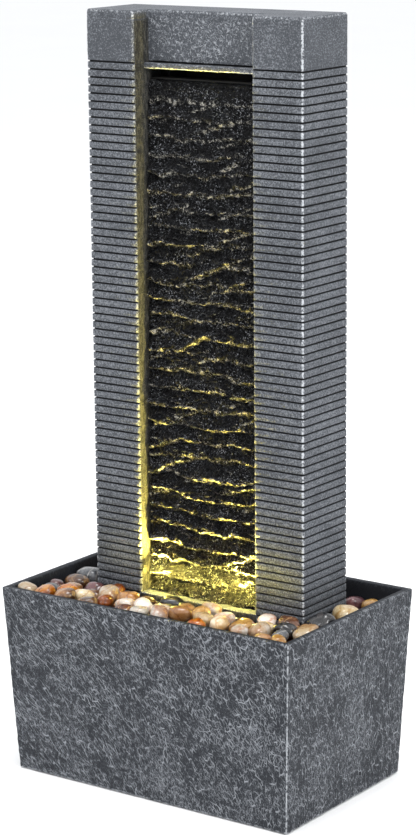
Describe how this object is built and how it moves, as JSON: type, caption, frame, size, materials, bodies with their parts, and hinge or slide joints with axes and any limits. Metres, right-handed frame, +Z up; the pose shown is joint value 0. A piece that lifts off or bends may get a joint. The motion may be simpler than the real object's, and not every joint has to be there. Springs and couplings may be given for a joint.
{
  "type": "cascading fountain",
  "caption": "Free-standing fountain: a ribbed rectangular tower holds a wet split-stone water wall lit from below, standing in a tapered trough of polished pebbles.",
  "frame": {"origin": "middle of the underside, on the ground", "axes": "+Z up along the tower, +X along the long side of the trough, -Y towards the front where the water wall faces"},
  "size_m": [0.38, 0.2462, 0.838],
  "materials": {
    "basin_resin": "dark slate-grey cast resin, brushed with pale streaks, worn at the edges",
    "tower_resin": "dark blue-grey cast resin with a fine silvery speckle",
    "wet_stone": "black split-face stone texture, wet and glossy",
    "cover_plastic": "dark moulded plastic, fine texture",
    "black_plastic": "black injection-moulded plastic",
    "pump_plastic": "satin black potted housing",
    "black_rubber": "matte",
    "hose_vinyl": "translucent flexible vinyl",
    "stainless": "plain stainless",
    "lamp_plastic": "black moulded plastic",
    "lamp_lens": "clear lens lit warm yellow",
    "led_board": "white board with yellow light-emitting dies",
    "ceramic_shaft": "polished ceramic",
    "impeller_plastic": "moulded plastic over a magnet",
    "dial_plastic": "grey moulded plastic",
    "pebble_cream": "polished river pebble",
    "pebble_white": "polished river pebble",
    "pebble_tan": "polished river pebble",
    "pebble_orange": "polished river pebble",
    "pebble_brown": "polished river pebble",
    "pebble_plum": "polished river pebble",
    "pebble_grey": "polished river pebble",
    "pebble_black": "polished river pebble"
  },
  "bodies": {
    "root": {"basin": "basin_resin", "feet": "black_rubber", "tower_shell": "tower_resin", "cascade_panel": "wet_stone", "back_panel": "cover_plastic", "back_panel_screws": "stainless", "cable_grommet": "black_rubber", "spill_trough": "black_plastic", "trough_screws": "stainless", "riser_hose": "hose_vinyl", "hose_clamps": "stainless", "pump_body": "pump_plastic", "pump_volute": "pump_plastic", "pump_suction_cups": "black_rubber", "pump_shaft": "ceramic_shaft", "pump_cable_gland": "black_rubber", "pebble_tray": "black_plastic", "led_brackets": "stainless", "led_bracket_screws": "stainless", "led_leads": "black_rubber", "led_connectors": "black_rubber", "pebbles_cream": "pebble_cream", "pebbles_white": "pebble_white", "pebbles_tan": "pebble_tan", "pebbles_orange": "pebble_orange", "pebbles_brown": "pebble_brown", "pebbles_plum": "pebble_plum", "pebbles_grey": "pebble_grey", "pebbles_black": "pebble_black"},
    "hatch": {"access_hatch": "cover_plastic", "hatch_seal": "black_rubber"},
    "plug": {"drain_plug": "black_rubber"},
    "rotor": {"impeller": "impeller_plastic"},
    "strainer": {"intake_strainer": "pump_plastic"},
    "dial": {"flow_dial": "dial_plastic"},
    "lamp_left": {"led_housing_left": "lamp_plastic", "led_bezel_left": "stainless", "led_lens_left": "lamp_lens", "led_board_left": "led_board"},
    "lamp_right": {"led_housing_right": "lamp_plastic", "led_bezel_right": "stainless", "led_lens_right": "lamp_lens", "led_board_right": "led_board"}
  },
  "joints": [
    {"name": "hatch_pull", "type": "slide", "parent": "root", "child": "hatch", "axis": [0, 1, 0], "range_m": [0, 0.04]},
    {"name": "drain_plug_pull", "type": "slide", "parent": "root", "child": "plug", "axis": [0, 1, 0], "range_m": [0, 0.03]},
    {"name": "impeller_spin", "type": "hinge", "parent": "root", "child": "rotor", "pos_m": [0, 0.04675, 0.039], "axis": [1, 0, 0], "continuous": true},
    {"name": "strainer_pull", "type": "slide", "parent": "root", "child": "strainer", "axis": [-1, 0, 0], "range_m": [0, 0.03]},
    {"name": "flow_dial_turn", "type": "hinge", "parent": "strainer", "child": "dial", "pos_m": [-0.03, 0.04675, 0.039], "axis": [-1, 0, 0], "range_deg": [0, 60]},
    {"name": "lamp_tilt_left", "type": "hinge", "parent": "root", "child": "lamp_left", "pos_m": [-0.054, -0.0325, 0.185], "axis": [1, 0, 0], "range_deg": [-12, 20]},
    {"name": "lamp_tilt_right", "type": "hinge", "parent": "root", "child": "lamp_right", "pos_m": [0.054, -0.0325, 0.185], "axis": [1, 0, 0], "range_deg": [-12, 20]}
  ]
}
